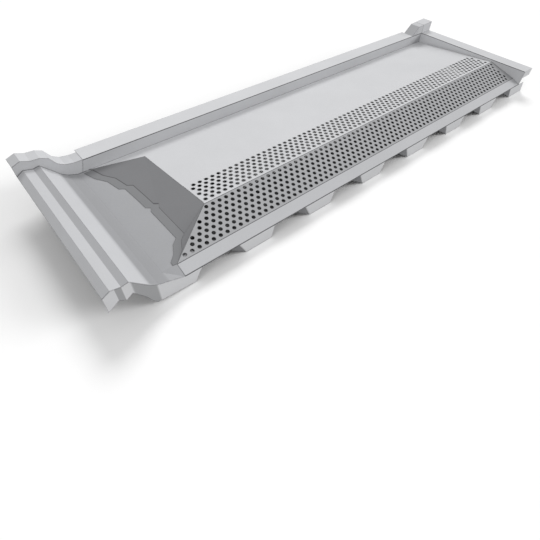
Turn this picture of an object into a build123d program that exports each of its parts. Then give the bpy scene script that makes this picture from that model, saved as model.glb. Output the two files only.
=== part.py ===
from build123d import *
from math import hypot
import os

# A metal roof tile panel with a low perforated vent hood, in millimetres.
# X runs along the panel from its left edge, Y from the front nose to the rear flange, and Z upwards.
# The pieces are made from the left end of the front nose, level with the lowest points of its teeth.
# At the end the origin moves to the middle of the bottom of the box around the whole part.

# Sheet
sheet = 0.5

# Panel
wall_x = 1275
side_flange = 43
side_lip = 12
side_hem = 6
pan_depth = 358
rear_flange = 33
upstand = 26
nose_drop = 28
apron_depth = 24
apron_fall = 10

# Side-lap ribs at the left: distance from the left edge, height above the floor
rib_profile = [(0, 40), (14, 48), (31, 44), (43, 46), (72, 14), (84, 6), (102, 0)]
rib_rim = [(0, 60), (17, 66), (33, 60), (50, 59), (64, 53), (75, 36), (87, 29), (104, 26)]
# Lower edge of the nose below the ribs: distance from the left edge, height above the teeth's lowest points
rib_nose = [(0, 45), (10, 51), (20, 58), (31, 50), (43, 58), (60, 32), (68, 14), (75, 5)]

# Teeth of the nose, each measured leftwards from its right end
tooth_count = 8
tooth_pitch = 164
tooth_foot_right = 8
first_foot_right = 16
tooth_foot_left = 68
tooth_fold_top = 83
tooth_shoulder = 95
tooth_shoulder_height = 14
tooth_start = 110
tooth_setback = 11
last_tooth_reach = 41

# Raised corner of the rear flange over the side flange
corner_ramp_start = 50
corner_ramp_end = 23
corner_height = 48
corner_outer_height = 52

# Air throat through the floor, below the hood
throat_left = 330
throat_front = 112
throat_length = 860
throat_depth = 130
cut_clearance = 5

# Hood
hood_left = 112
strip_left = 131
crease_left = 241
crease_y = 102
crease_height = 20
hip_rear_x = 237
hip_setback = 32
hip_foot_x = 124
hood_gap = 0.3
hood_flange = 42
flange_left = 121

# Perforations
hole_diameter = 7.5
hole_pitch = 15
row_pitch = 10.8
face_rows = 7
top_rows = 6
fold_margin = 3
side_margin = 2

# End cap: outer edge of its foot flange from the front to the rear, as distances from the left edge
# and shares of the pan's depth
foot_edge = [(123, 0.07), (124, 0.092), (137, 0.128), (148, 0.184), (161, 0.215), (161, 0.461), (166, 0.486),
             (158, 0.503), (157, 0.581), (154, 0.712), (144, 0.732), (137, 0.83), (121, 0.899), (112, 0.983)]
foot_width = 17

floor_z = nose_drop + apron_fall
rim_z = floor_z + upstand
panel_length = wall_x + side_flange
first_tooth_end = tooth_pitch
facet_start = rib_profile[-1][0] + sheet


def prism(points, direction):
    """Solid swept from a flat polygon along a straight line."""
    outline = Wire.make_polygon([Vector(*point) for point in points], close=True)
    return Solid.extrude(Face(outline), Vector(*direction))


def unit_normal(start, end):
    """Unit vector to the right of the way from start to end."""
    dx = end[0] - start[0]
    dy = end[1] - start[1]
    size = hypot(dx, dy)
    return dy / size, -dx / size


def offset_path(path, distance):
    """Path at a distance to the right of the given one, with mitred corners."""
    normals = [unit_normal(a, b) for a, b in zip(path, path[1:])]
    before = [normals[0]] + normals
    after = normals + [normals[-1]]
    moved = []
    for (x, y), n, m in zip(path, before, after):
        scale = distance / (1 + n[0] * m[0] + n[1] * m[1])
        moved.append((x + (n[0] + m[0]) * scale, y + (n[1] + m[1]) * scale))
    return moved


def band(path):
    """Outline of a sheet that follows a path and has its thickness on the path's right."""
    return path + offset_path(path, sheet)[::-1]


def sheet_along_y(path, y_start, y_end):
    """Folded sheet with its section in XZ."""
    points = [(x, y_start, z) for x, z in band(path)]
    return prism(points, (0, y_end - y_start, 0))


def sheet_along_x(path, x_start, x_end):
    """Folded sheet with its section in YZ."""
    points = [(x_start, y, z) for y, z in band(path)]
    return prism(points, (x_end - x_start, 0, 0))


def upright_plate(outline, y):
    """Plate that stands across Y, with its front face at y."""
    return prism([(x, y, z) for x, z in outline], (0, sheet, 0))


def apron_height(y):
    """Top surface of the apron, the sloping front edge of the floor."""
    return nose_drop + apron_fall * y / apron_depth


def above_floor(path):
    return [(x, floor_z + height) for x, height in path]


def side_path():
    """Right wall, side flange, turned lip and hem."""
    edge = panel_length
    return [(wall_x, rim_z), (edge, rim_z), (edge, rim_z - side_lip), (edge - side_hem, rim_z - side_lip)]


def rim_path():
    """Top surface of the rear flange, from the ribs to the raised right corner."""
    corner = [(wall_x - corner_ramp_start, upstand), (wall_x - corner_ramp_end, corner_height),
              (panel_length, corner_outer_height)]
    return above_floor(rib_rim + corner)


def pan():
    """Ribs, floor, right wall and side flange."""
    ribs = above_floor(rib_profile)
    whole = ribs + [(wall_x, floor_z)] + side_path()
    wall = [(wall_x, 0, nose_drop), (wall_x, apron_depth, floor_z), (wall_x, apron_depth, rim_z),
            (wall_x, 0, rim_z)]
    body = sheet_along_y(whole, apron_depth, pan_depth + sheet)
    body += sheet_along_y(ribs + [(facet_start, floor_z)], 0, apron_depth)
    body += sheet_along_y(side_path(), 0, apron_depth)
    body += prism(wall, (sheet, 0, 0))
    return body


def apron():
    """Sloping front edge of the floor, with two flat facets beside the ribs."""
    slope = sheet_along_x([(0, nose_drop), (apron_depth, floor_z)], strip_left, wall_x + sheet)
    high = (facet_start, apron_depth, floor_z)
    front = [high, (facet_start, 0, floor_z), (strip_left, 0, nose_drop)]
    rear = [high, (strip_left, 0, nose_drop), (strip_left, apron_depth, floor_z)]
    down = (0, 0, -sheet)
    return slope + prism(front, down) + prism(rear, down)


def rear_edge():
    """Upstand and flange along the rear."""
    foot = above_floor(rib_profile) + [(wall_x, floor_z), (wall_x, rim_z), (panel_length, rim_z)]
    stand = upright_plate(foot + rim_path()[::-1], pan_depth)
    return stand + sheet_along_y(rim_path(), pan_depth, pan_depth + rear_flange)


def rib_front():
    """Nose below the ribs, together with the first tooth."""
    top = above_floor(rib_profile) + [(facet_start, floor_z), (strip_left, nose_drop)]
    top.append((first_tooth_end, nose_drop))
    foot = rib_nose + [(first_tooth_end - first_foot_right, 0)]
    return upright_plate(top + foot[::-1], 0)


def tooth_front(end):
    """Front of a tooth whose right end is at X = end, or the wider front of the last tooth."""
    right = end
    foot_right = end - tooth_foot_right
    if end > wall_x:
        right = wall_x + last_tooth_reach - side_lip
        foot_right = wall_x + last_tooth_reach
    outline = [(end - tooth_fold_top, nose_drop), (end - tooth_foot_left, 0), (foot_right, 0),
               (right, nose_drop)]
    return upright_plate(outline, 0)


def tooth_side(end):
    """Left facet of a tooth, which turns back from its front."""
    fold = (tooth_foot_left - tooth_fold_top) / nose_drop
    start_z = apron_height(tooth_setback)
    reach = tooth_start - tooth_fold_top
    lean = tooth_setback / (reach + fold * (start_z - nose_drop))

    def corner(left, z):
        return (end - left, lean * (left - tooth_fold_top - fold * (nose_drop - z)), z)

    corners = [corner(tooth_fold_top, nose_drop), corner(tooth_foot_left, 0),
               corner(tooth_shoulder, tooth_shoulder_height), corner(tooth_start, start_z)]
    return prism(corners, (0, sheet, 0))


def teeth():
    """Every tooth after the first."""
    body = None
    for index in range(1, tooth_count):
        end = first_tooth_end + index * tooth_pitch
        piece = tooth_front(end) + tooth_side(end)
        body = piece if body is None else body + piece
    return body


def side_front():
    """Nose at the front of the side flange."""
    low = rim_z - side_lip - side_hem
    return upright_plate([(wall_x, low), (panel_length, low), (panel_length, rim_z), (wall_x, rim_z)], 0)


def throat():
    corner = Vector(throat_left, throat_front, floor_z - cut_clearance)
    return Solid.make_box(throat_length, throat_depth, 2 * cut_clearance, Plane(corner))


def base_panel():
    body = pan() + apron() + rear_edge() + rib_front() + teeth() + side_front()
    return body - throat()


def hood_path():
    """Underside of the hood, from its front edge over the crease to the rear flange."""
    return [(0, nose_drop), (apron_depth, floor_z), (crease_y, floor_z + crease_height),
            (pan_depth, floor_z), (pan_depth, rim_z), (pan_depth + hood_flange, rim_z)]


def top_height(y):
    """Underside of the hood's top plate."""
    return floor_z + crease_height * (pan_depth - y) / (pan_depth - crease_y)


def hood_corner():
    """Plan of what the left end cap covers in place of the hood."""
    rear = pan_depth - sheet
    return [(0, -cut_clearance), (strip_left, -cut_clearance), (strip_left, apron_depth),
            (crease_left, crease_y), (hip_rear_x, pan_depth - hip_setback), (hip_foot_x, rear), (0, rear)]


def flange_corner():
    """Slanting left end of the hood's rear upstand and flange, as what is cut away."""
    high = rim_z + cut_clearance
    front = pan_depth - 2 * sheet
    outline = [(hood_left - cut_clearance, floor_z), (hood_left, floor_z), (flange_left, rim_z),
               (flange_left, high), (hood_left - cut_clearance, high)]
    return prism([(x, front, z) for x, z in outline], (0, hood_flange + cut_clearance, 0))


def perforated(start, end, left_start, left_end, rows):
    """Window in the hood, and the perforated sheet that fills it.

    start and end are the YZ points of the window's lower and upper edges, on the hood's underside.
    """
    right = wall_x - hole_diameter
    across = unit_normal(start, end)
    lift = (0, -across[0] * sheet, -across[1] * sheet)
    outline = [(left_start, *start), (right, *start), (right, *end), (left_end, *end)]
    step = Vector(0, end[0] - start[0], end[1] - start[1]).normalized()
    size = hypot(end[0] - start[0], end[1] - start[1])
    lead = (size - (rows - 1) * row_pitch) / 2
    holes = []
    for row in range(rows):
        along = lead + row * row_pitch
        left = left_start + (left_end - left_start) * along / size + hole_pitch / 2
        left += (row % 2) * hole_pitch / 2
        count = int((right - hole_diameter - left) / hole_pitch) + 1
        for index in range(count):
            centre = Vector(left + index * hole_pitch, *start) + step * along
            plane = Plane(origin=centre, x_dir=(1, 0, 0), z_dir=lift)
            holes.append(Wire.make_circle(hole_diameter / 2, plane))
    outer = Wire.make_polygon([Vector(*point) for point in outline], close=True)
    filled = Solid.extrude(Face(outer, holes), Vector(*lift))
    window = prism(outline, lift)
    return window, filled


def between(start, end, distance):
    """Point at a distance from start on the way to end."""
    share = distance / hypot(end[0] - start[0], end[1] - start[1])
    return start[0] + (end[0] - start[0]) * share, start[1] + (end[1] - start[1]) * share


def vent_hood():
    path = hood_path()[::-1]
    body = sheet_along_x(path, hood_left, wall_x - hood_gap)
    flange_end = wall_x - corner_ramp_start
    spare = Solid.make_box(panel_length, hood_flange, corner_height,
                           Plane(Vector(flange_end, pan_depth, floor_z + sheet)))
    body -= spare
    body -= prism([(x, y, 0) for x, y in hood_corner()], (0, 0, rim_z + corner_height))
    body -= flange_corner()
    strip_top, crease, foot = hood_path()[1:4]
    face_size = hypot(crease[0] - strip_top[0], crease[1] - strip_top[1])
    low = between(strip_top, crease, fold_margin)
    high = between(strip_top, crease, face_size - fold_margin)

    def window_left(y):
        lean = (crease_left - strip_left) / (crease_y - apron_depth)
        return strip_left + lean * (y - apron_depth) + side_margin

    window, filled = perforated(low, high, window_left(low[0]), window_left(high[0]), face_rows)
    body = body - window + filled
    near = between(crease, foot, fold_margin)
    far = between(crease, foot, fold_margin * 2 + top_rows * row_pitch)
    window, filled = perforated(near, far, crease_left + side_margin, crease_left + side_margin, top_rows)
    return body - window + filled


def end_cap():
    """Sloping plate that closes the hood's left end, with a flange along its foot."""
    outer = [(x, share * pan_depth) for x, share in foot_edge]
    inner = [(x + foot_width, y) for x, y in outer[1:]]
    up = (0, 0, sheet)
    hip_rear_y = pan_depth - hip_setback
    front = (strip_left, apron_depth, floor_z)
    crease = (crease_left, crease_y, top_height(crease_y))
    rear = (hip_rear_x, hip_rear_y, top_height(hip_rear_y))
    last = (hip_foot_x, pan_depth - sheet, top_height(pan_depth - sheet))
    feet = [(x, y, floor_z) for x, y in inner]
    middle = feet.index(max(feet))
    triangles = [(front, feet[0], crease)]
    triangles += [(a, b, crease) for a, b in zip(feet[:middle], feet[1:middle + 1])]
    triangles += [(crease, feet[middle], rear)]
    triangles += [(a, b, rear) for a, b in zip(feet[middle:], feet[middle + 1:])]
    triangles += [(feet[-1], last, rear)]
    flange = [(x, y, floor_z) for x, y in outer + inner[::-1]] + [front]
    body = prism(flange, up)
    for triangle in triangles:
        body += prism(triangle, up)
    return body


parts = {
    "base_panel": base_panel(),
    "vent_hood": vent_hood(),
    "end_cap_left": end_cap(),
}

box = Compound(list(parts.values())).bounding_box()
origin = Vector(box.center().X, box.center().Y, box.min.Z)
print("origin", *origin)

os.makedirs("parts", exist_ok=True)
for name, part in parts.items():
    placed = part.translate(-origin, transform=True)
    export_step(placed, f"parts/{name}.step")
    print(name, "volume", round(placed.volume), "solids", len(placed.solids()))
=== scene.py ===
import math

import bpy
from mathutils import Matrix, Vector


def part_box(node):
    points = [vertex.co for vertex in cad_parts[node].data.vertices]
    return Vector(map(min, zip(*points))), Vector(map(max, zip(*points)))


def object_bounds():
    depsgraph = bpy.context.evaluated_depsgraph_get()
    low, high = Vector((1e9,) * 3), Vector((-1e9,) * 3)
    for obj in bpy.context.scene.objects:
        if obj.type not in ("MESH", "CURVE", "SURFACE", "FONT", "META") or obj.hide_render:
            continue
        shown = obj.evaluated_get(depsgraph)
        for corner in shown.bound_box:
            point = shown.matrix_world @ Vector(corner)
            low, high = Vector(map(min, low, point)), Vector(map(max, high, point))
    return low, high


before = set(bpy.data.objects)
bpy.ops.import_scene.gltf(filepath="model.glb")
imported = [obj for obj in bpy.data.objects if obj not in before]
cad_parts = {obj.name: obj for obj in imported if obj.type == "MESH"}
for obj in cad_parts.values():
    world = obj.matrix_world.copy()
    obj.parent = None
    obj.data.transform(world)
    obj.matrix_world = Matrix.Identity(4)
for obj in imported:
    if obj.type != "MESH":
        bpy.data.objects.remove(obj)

# Looks of a coated steel roof tile panel with a perforated vent hood, in metres.
# Places are measured from the lowest corner of the base panel's box: its left edge, its nose and its teeth.
cad_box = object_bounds()
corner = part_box("base_panel")[0]
hood_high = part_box("vent_hood")[1] - corner
cap_low, cap_high = [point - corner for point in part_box("end_cap_left")]

# Thickness of the sheet, and a place past every face
sheet = 0.0005
far = 10

# Places along Y
past_sheet = 1.2 * sheet
nose_end = past_sheet
nose_fold = 1.4 * sheet
apron_end = cap_low.y
crease_place = 0.102
rear_foot = cap_high.y + sheet
front_plate = rear_foot - past_sheet
behind_plate = rear_foot + past_sheet
top_rows = (0.106, 0.176)

# Places along Z
floor_top = cap_low.z + sheet
rim_height = hood_high.z - sheet
ramp_rise = 0.001
ramp_foot = rim_height + ramp_rise

# Places along X
rib_step = (0.031, 0.043)
rib_end = 0.066
rib_foot = (0.074, 0.1)
rear_plate_end = 0.12
strip_start = 0.131
ramp = (1.225, 1.252)
wall_place = hood_high.x
wall_end = wall_place + 2 * sheet

# Dark turns of the nose along X, painted shade for folds that the flat nose plate doesn't have, each with
# the width of its soft edge
nose_turns = {(0.021, 0.03): 0.001, (0.047, 0.08): 0.003}

# Floor that the hood hides, painted near black as shade so the holes read dark
hidden_start = 0.185
hidden_front_start = 0.168
hidden_front_end = 0.06
hidden_rear_margin = 0.01
hidden_front_margin = 0.002
hidden_rear_end = rear_foot - hidden_rear_margin
hidden_front = apron_end + hidden_front_margin

# Width of a tone's soft edge
rib_fade = 0.008
rib_foot_fade = 0.004
sharp = 0.0001
hair = 0.00001

# Linear colours
# Painted shade: the base panel's grey is darker than the hood's coat, so the pan floor and the rest of the
# panel outside the zones read as shaded
floor_shade_grey = (0.347, 0.351, 0.364)
rib_grey = (0.5, 0.505, 0.52)
# Painted shade on one facet of the ribs and on the ribs' foot, where they run down to the floor
rib_step_shade_grey = (0.39, 0.394, 0.407)
rib_foot_shade_grey = (0.29, 0.293, 0.304)
ramp_grey = (0.49, 0.495, 0.51)
rear_plate_grey = (0.53, 0.535, 0.55)
rear_grey = (0.535, 0.54, 0.555)
# Painted light: a lighter grey on the right wall, a face the key light doesn't reach
wall_lit_grey = (0.67, 0.675, 0.69)
side_grey = (0.58, 0.585, 0.6)
# Painted light: a lighter grey on the nose, a face the key light doesn't reach
nose_lit_grey = (0.72, 0.725, 0.74)
# Painted shade: dark turns of the flat nose plate
nose_turn_shade_grey = (0.4, 0.404, 0.413)
# Painted shade: near black on the floor that the hood hides
hidden_shade_grey = (0.03, 0.03, 0.032)
back_grey = (0.09, 0.09, 0.095)
hood_grey = (0.6, 0.605, 0.62)
strip_grey = (0.485, 0.49, 0.505)
# Painted shade: the hood's perforated face, darker than the hood's top
face_shade_grey = (0.36, 0.364, 0.375)
upstand_grey = (0.5, 0.505, 0.52)
# Painted shade: the end cap and its foot flange, much darker than the same coat elsewhere
cap_shade_grey = (0.21, 0.212, 0.22)
foot_shade_grey = (0.235, 0.238, 0.246)
# Painted shade: dark lines along folds and cut edges
fold_line_shade_grey = (0.1, 0.1, 0.105)

# Coating
granule_size = 0.0012
mottle_size = 0.09
granule_contrast = 0.1
mottle_contrast = 0.05
granule_height = 0.0004
granule_strength = 0.25
granule_detail = 3
mottle_detail = 4
coat_roughness = 0.72
fold_radius = 0.0015
fold_samples = 6
# Painted shade along folds and cut edges: its strength
fold_shade_contrast = 0.6
# Painted shade in a ring around each hole of the top rows: its width and strength
ring_radius = 0.003
ring_shade_contrast = 0.95
cap_heading = (-0.22, 0.06, 0.97)
cap_softness = 0.85

# How far the rounded normal keeps to the flat one, at the darkest of a fold's painted shade and past its
# edge
fold_darkest = 0.8
fold_edge = 0.995

# Upward part of the normal below which a face is an underside
underside_limit = -0.5

# Painted shade lines in the folds, and the height over which the line shows beside the foot of the end cap
line_width = 0.0012
foot_top = floor_top + hair
foot_turn = 0.166
steep_line_rise = 0.0003
flat_line_rise = 0.00005
steep_line_top = foot_top + steep_line_rise
flat_line_top = foot_top + flat_line_rise

# Camera
camera_place = Vector((-0.0301, -0.3838, 0.5335))
camera_heading = math.radians(42.4)
camera_dip = math.radians(50.65)
camera_roll = math.radians(2.7)
image_width_px = 540
focal_length_px = 383.6

# Light
key_heading = (0.45, 0.55, 0.7)
key_strength = 1.45
fill_heading = (0.75, -0.55, 0.37)
fill_strength = 1.6
side_heading = (-0.8, -0.2, 0.55)
side_strength = 0.5
sun_angle = math.radians(25)
sky_strength = 0.45
floor_size = 12
floor_roughness = 0.9
floor_seen = (0.98, 0.98, 0.98, 1)
floor_bounce = (0.35, 0.35, 0.35, 1)

# Sockets of a Mix node: its share, and the two inputs and the output for vectors and for colours
mix_share = 0
vector_first = 4
vector_second = 5
vector_result = 1
colour_first = 6
colour_second = 7
colour_result = 2


def add_node(tree, kind, **settings):
    """Shader node with its properties and input values set."""
    node = tree.nodes.new(kind)
    for name, value in settings.items():
        if hasattr(node, name):
            setattr(node, name, value)
        else:
            node.inputs[name.replace("_", " ")].default_value = value
    return node


def scaled(tree, factor, low, high):
    """Factor from 0 to 1 spread over the values from low to high."""
    node = add_node(tree, "ShaderNodeMapRange", To_Min=low, To_Max=high)
    tree.links.new(factor, node.inputs["Value"])
    return node.outputs["Result"]


def calculated(tree, operation, first, second):
    """Result of a Math node. The second value is a socket or a number."""
    node = add_node(tree, "ShaderNodeMath", operation=operation)
    tree.links.new(first, node.inputs[0])
    if isinstance(second, (int, float)):
        node.inputs[1].default_value = second
    else:
        tree.links.new(second, node.inputs[1])
    return node.outputs[0]


def mixed_colour(tree, share, first, colour):
    """The first colour turned into the given one where share is 1."""
    blend = add_node(tree, "ShaderNodeMix", data_type="RGBA")
    tree.links.new(share, blend.inputs[mix_share])
    tree.links.new(first, blend.inputs[colour_first])
    blend.inputs[colour_second].default_value = (*colour, 1)
    return blend.outputs[colour_result]


def rise(tree, place, start, end):
    """0 where the coordinate is at start or before it, 1 at end or past it."""
    node = add_node(tree, "ShaderNodeMapRange", From_Min=start, From_Max=end)
    tree.links.new(place, node.inputs["Value"])
    return node.outputs["Result"]


def within(tree, places, limits, fade):
    """1 where each named coordinate lies between its low and high limit, and 0 from fade past them."""
    share = None
    for axis, (low, high) in limits.items():
        above = rise(tree, places[axis], low - fade, low)
        below = rise(tree, places[axis], high + fade, high)
        both = calculated(tree, "MULTIPLY", above, below)
        share = both if share is None else calculated(tree, "MULTIPLY", share, both)
    return share


def softened(tree, normal):
    """Normal turned most of the way towards the cap's own heading, as its dressed folds are soft."""
    blend = add_node(tree, "ShaderNodeMix", data_type="VECTOR")
    blend.inputs[mix_share].default_value = cap_softness
    tree.links.new(normal, blend.inputs[vector_first])
    blend.inputs[vector_second].default_value = cap_heading
    unit = add_node(tree, "ShaderNodeVectorMath", operation="NORMALIZE")
    tree.links.new(blend.outputs[vector_result], unit.inputs[0])
    return unit.outputs[0]


def fold_shade(tree, flat, rounded, contrast):
    """Tone of the coating, darker along folds and cut edges: painted shade."""
    turned = add_node(tree, "ShaderNodeVectorMath", operation="DOT_PRODUCT")
    tree.links.new(flat, turned.inputs[0])
    tree.links.new(rounded, turned.inputs[1])
    node = add_node(tree, "ShaderNodeMapRange", From_Min=fold_darkest, From_Max=fold_edge,
                    To_Min=1 - contrast)
    tree.links.new(turned.outputs["Value"], node.inputs["Value"])
    return node.outputs["Result"]


def noise(tree, place, size, detail):
    """Noise with spots of about the given size."""
    texture = add_node(tree, "ShaderNodeTexNoise", Scale=1 / size, Detail=detail)
    tree.links.new(place, texture.inputs["Vector"])
    return texture.outputs["Fac"]


def zoned_coat(tree, place, colour, zones, flat):
    """Colour of the coating: a base grey and the greys of its zones, several of them painted light and
    shade, and a dark back coat under the sheet.
    """
    start = add_node(tree, "ShaderNodeRGB")
    start.outputs[0].default_value = (*colour, 1)
    coat = start.outputs[0]
    places = add_node(tree, "ShaderNodeSeparateXYZ")
    tree.links.new(place, places.inputs[0])
    for grey, fade, limits in zones:
        coat = mixed_colour(tree, within(tree, places.outputs, limits, fade), coat, grey)
    facing = add_node(tree, "ShaderNodeSeparateXYZ")
    tree.links.new(flat, facing.inputs[0])
    underside = calculated(tree, "LESS_THAN", facing.outputs["Z"], underside_limit)
    return mixed_colour(tree, underside, coat, back_grey)


def ring_shade(tree, place, flat):
    """Tone of the top plate's perforated rows, darker in a ring of painted shade around each hole."""
    bevel = add_node(tree, "ShaderNodeBevel", samples=fold_samples, Radius=ring_radius)
    wide = bevel.outputs[0]
    places = add_node(tree, "ShaderNodeSeparateXYZ")
    tree.links.new(place, places.inputs[0])
    outside = scaled(tree, within(tree, places.outputs, {"Y": top_rows}, sharp), 1, 0)
    return calculated(tree, "MAXIMUM", outside, fold_shade(tree, flat, wide, ring_shade_contrast))


def coated_steel(name, colour, zones, soft=False, ringed=False):
    """Matt granule coating in one grey, with zones of other greys that paint in light and shade, painted
    shade along the folds, and a dark back coat.
    """
    material = bpy.data.materials.new(name)
    material.use_nodes = True
    tree = material.node_tree
    shader = tree.nodes["Principled BSDF"]
    shader.inputs["Roughness"].default_value = coat_roughness
    from_corner = add_node(tree, "ShaderNodeVectorMath", operation="SUBTRACT")
    tree.links.new(add_node(tree, "ShaderNodeTexCoord").outputs["Object"], from_corner.inputs[0])
    from_corner.inputs[1].default_value = corner
    place = from_corner.outputs[0]
    flat = add_node(tree, "ShaderNodeNewGeometry").outputs["True Normal"]
    bevel = add_node(tree, "ShaderNodeBevel", samples=fold_samples, Radius=fold_radius)
    rounded = bevel.outputs[0]

    granules = noise(tree, place, granule_size, granule_detail)
    fine = scaled(tree, granules, 1 - granule_contrast, 1 + granule_contrast)
    mottle = noise(tree, place, mottle_size, mottle_detail)
    broad = scaled(tree, mottle, 1 - mottle_contrast, 1 + mottle_contrast)
    mottled = calculated(tree, "MULTIPLY", fine, broad)
    # The granules' and mottle's own tone, times painted shade along the folds
    tone = calculated(tree, "MULTIPLY", mottled, fold_shade(tree, flat, rounded, fold_shade_contrast))
    # Painted shade in a ring around each hole of the top rows
    if ringed:
        tone = calculated(tree, "MULTIPLY", tone, ring_shade(tree, place, flat))
    shade = add_node(tree, "ShaderNodeVectorMath", operation="SCALE")
    tree.links.new(zoned_coat(tree, place, colour, zones, flat), shade.inputs[0])
    tree.links.new(tone, shade.inputs["Scale"])
    tree.links.new(shade.outputs[0], shader.inputs["Base Color"])

    bump = add_node(tree, "ShaderNodeBump", Strength=granule_strength, Distance=granule_height)
    tree.links.new(granules, bump.inputs["Height"])
    tree.links.new(rounded, bump.inputs["Normal"])
    normal = softened(tree, bump.outputs[0]) if soft else bump.outputs[0]
    tree.links.new(normal, shader.inputs["Normal"])
    return material


def panel_zones():
    """Ribs, rear edge, right wall, nose, hidden floor and dark lines in the folds: painted shade on the
    ribs' step and foot, the nose's turns, the hidden floor and the fold lines, and painted light on the wall
    and nose.
    """
    ribs_only = (-far, rear_plate_end)
    nose = (-far, nose_end)
    zones = [
        (rib_grey, rib_fade, {"X": (-far, rib_end)}),
        (rib_foot_shade_grey, rib_foot_fade, {"X": rib_foot}),
        (rib_step_shade_grey, sharp, {"X": rib_step}),
        (rear_grey, sharp, {"Y": (rear_foot - sheet, far)}),
        (rear_plate_grey, sharp, {"Y": (rear_foot - sheet, rear_foot + sheet), "X": ribs_only}),
        (wall_lit_grey, sharp, {"X": (wall_place, far)}),
        (side_grey, sharp, {"X": (wall_end, far)}),
        (ramp_grey, sharp, {"X": ramp, "Z": (ramp_foot, far)}),
        (nose_lit_grey, sharp, {"Y": nose}),
    ]
    for span, fade in nose_turns.items():
        zones.append((nose_turn_shade_grey, fade, {"Y": nose, "X": span}))
    zones += [
        # Painted shade: near black on the floor under the hood
        (hidden_shade_grey, sharp, {"X": (hidden_start, wall_place), "Y": (hidden_front, hidden_rear_end)}),
        (hidden_shade_grey, sharp, {"X": (hidden_front_start, wall_place), "Y": (hidden_front, hidden_front_end)}),
        # Painted shade lines along the folds
        (fold_line_shade_grey, sharp, {"X": (-far, strip_start), "Y": (nose_fold, line_width)}),
        (fold_line_shade_grey, sharp, {"X": ribs_only, "Y": (rear_foot - sheet - line_width, front_plate)}),
        (fold_line_shade_grey, sharp, {"X": ribs_only, "Y": (behind_plate, rear_foot + line_width)}),
        (fold_line_shade_grey, sharp, {"X": (wall_place, wall_end), "Z": (rim_height - line_width, far)}),
    ]
    return zones


def hood_zones():
    """Strip, perforated face with painted shade, rear upstand, and painted shade lines in the folds between
    them.
    """
    hood_back = (rear_foot - 2 * sheet, rear_foot - sheet)
    return [
        (strip_grey, sharp, {"Y": (-far, apron_end)}),
        (face_shade_grey, sharp, {"Y": (apron_end, crease_place)}),
        (upstand_grey, sharp, {"Y": (rear_foot - 2 * sheet, rear_foot), "Z": (floor_top, rim_height)}),
        # Painted shade lines along the folds
        (fold_line_shade_grey, sharp, {"Y": (-far, line_width)}),
        (fold_line_shade_grey, sharp, {"Y": (apron_end - line_width, apron_end)}),
        (fold_line_shade_grey, sharp, {"Y": (crease_place - line_width, crease_place)}),
        (fold_line_shade_grey, sharp, {"Y": hood_back, "Z": (rim_height - line_width, far)}),
    ]


def cap_zones():
    """Foot flange with painted shade, and a painted shade line along the fold above it, where the plate is
    steep and where it is flat.
    """
    return [
        (foot_shade_grey, hair, {"Z": (-far, foot_top)}),
        # Painted shade line along the fold above the foot
        (fold_line_shade_grey, hair, {"Z": (foot_top, steep_line_top), "Y": (-far, foot_turn)}),
        (fold_line_shade_grey, hair, {"Z": (foot_top, flat_line_top), "Y": (foot_turn, far)}),
    ]


def dress(node, material):
    """Give a CAD node its material."""
    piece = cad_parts[node]
    piece.data.materials.clear()
    piece.data.materials.append(material)


def sun(name, heading, strength):
    """Soft sun that shines from the given heading."""
    light = bpy.data.lights.new(name, "SUN")
    light.energy = strength
    light.angle = sun_angle
    lamp = bpy.data.objects.new(name, light)
    lamp.rotation_mode = "QUATERNION"
    lamp.rotation_quaternion = Vector(heading).to_track_quat("Z", "Y")
    bpy.context.scene.collection.objects.link(lamp)


def white_world():
    """White where the camera sees it, and a soft even sky for the object."""
    world = bpy.data.worlds.new("studio")
    bpy.context.scene.world = world
    world.use_nodes = True
    tree = world.node_tree
    background = tree.nodes["Background"]
    background.inputs["Color"].default_value = (1, 1, 1, 1)
    path = add_node(tree, "ShaderNodeLightPath")
    strength = scaled(tree, path.outputs["Is Camera Ray"], sky_strength, 1)
    tree.links.new(strength, background.inputs["Strength"])


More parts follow.
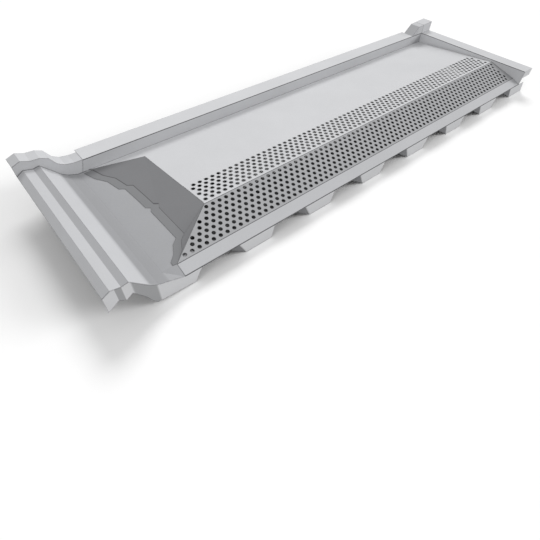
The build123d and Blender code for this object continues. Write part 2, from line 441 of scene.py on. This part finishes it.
def studio_floor():
    """White floor under the lowest point of the object, which throws little light back up at it."""
    low, high = cad_box
    middle = (low + high) / 2
    sides = [(-1, -1), (1, -1), (1, 1), (-1, 1)]
    corners = [(middle.x + floor_size * a, middle.y + floor_size * b, low.z - sheet) for a, b in sides]
    mesh = bpy.data.meshes.new("floor")
    mesh.from_pydata(corners, [], [(0, 1, 2, 3)])
    ground = bpy.data.objects.new("floor", mesh)
    bpy.context.scene.collection.objects.link(ground)
    material = bpy.data.materials.new("floor_white")
    material.use_nodes = True
    tree = material.node_tree
    shader = tree.nodes["Principled BSDF"]
    shader.inputs["Roughness"].default_value = floor_roughness
    path = add_node(tree, "ShaderNodeLightPath")
    blend = add_node(tree, "ShaderNodeMix", data_type="RGBA")
    tree.links.new(path.outputs["Is Camera Ray"], blend.inputs[mix_share])
    blend.inputs[colour_first].default_value = floor_bounce
    blend.inputs[colour_second].default_value = floor_seen
    tree.links.new(blend.outputs[colour_result], shader.inputs["Base Color"])
    mesh.materials.append(material)


def photo_camera():
    """Camera at the photograph's viewing angle."""
    ahead = Vector((math.sin(camera_heading) * math.cos(camera_dip),
                    math.cos(camera_heading) * math.cos(camera_dip), -math.sin(camera_dip)))
    level = Vector((math.cos(camera_heading), -math.sin(camera_heading), 0))
    upright = level.cross(ahead)
    right = level * math.cos(camera_roll) + upright * math.sin(camera_roll)
    up = right.cross(ahead)
    data = bpy.data.cameras.new("photo_camera")
    data.lens = data.sensor_width * focal_length_px / image_width_px
    camera = bpy.data.objects.new("photo_camera", data)
    turn = Matrix((right, up, -ahead)).transposed().to_4x4()
    camera.matrix_world = Matrix.Translation(corner + camera_place) @ turn
    bpy.context.scene.collection.objects.link(camera)
    bpy.context.scene.camera = camera


dress("base_panel", coated_steel("panel_coat", floor_shade_grey, panel_zones()))
dress("vent_hood", coated_steel("hood_coat", hood_grey, hood_zones(), ringed=True))
dress("end_cap_left", coated_steel("cap_coat", cap_shade_grey, cap_zones(), soft=True))

white_world()
studio_floor()
sun("key", key_heading, key_strength)
sun("fill", fill_heading, fill_strength)
sun("side", side_heading, side_strength)
photo_camera()
bpy.context.scene.view_settings.view_transform = "Standard"
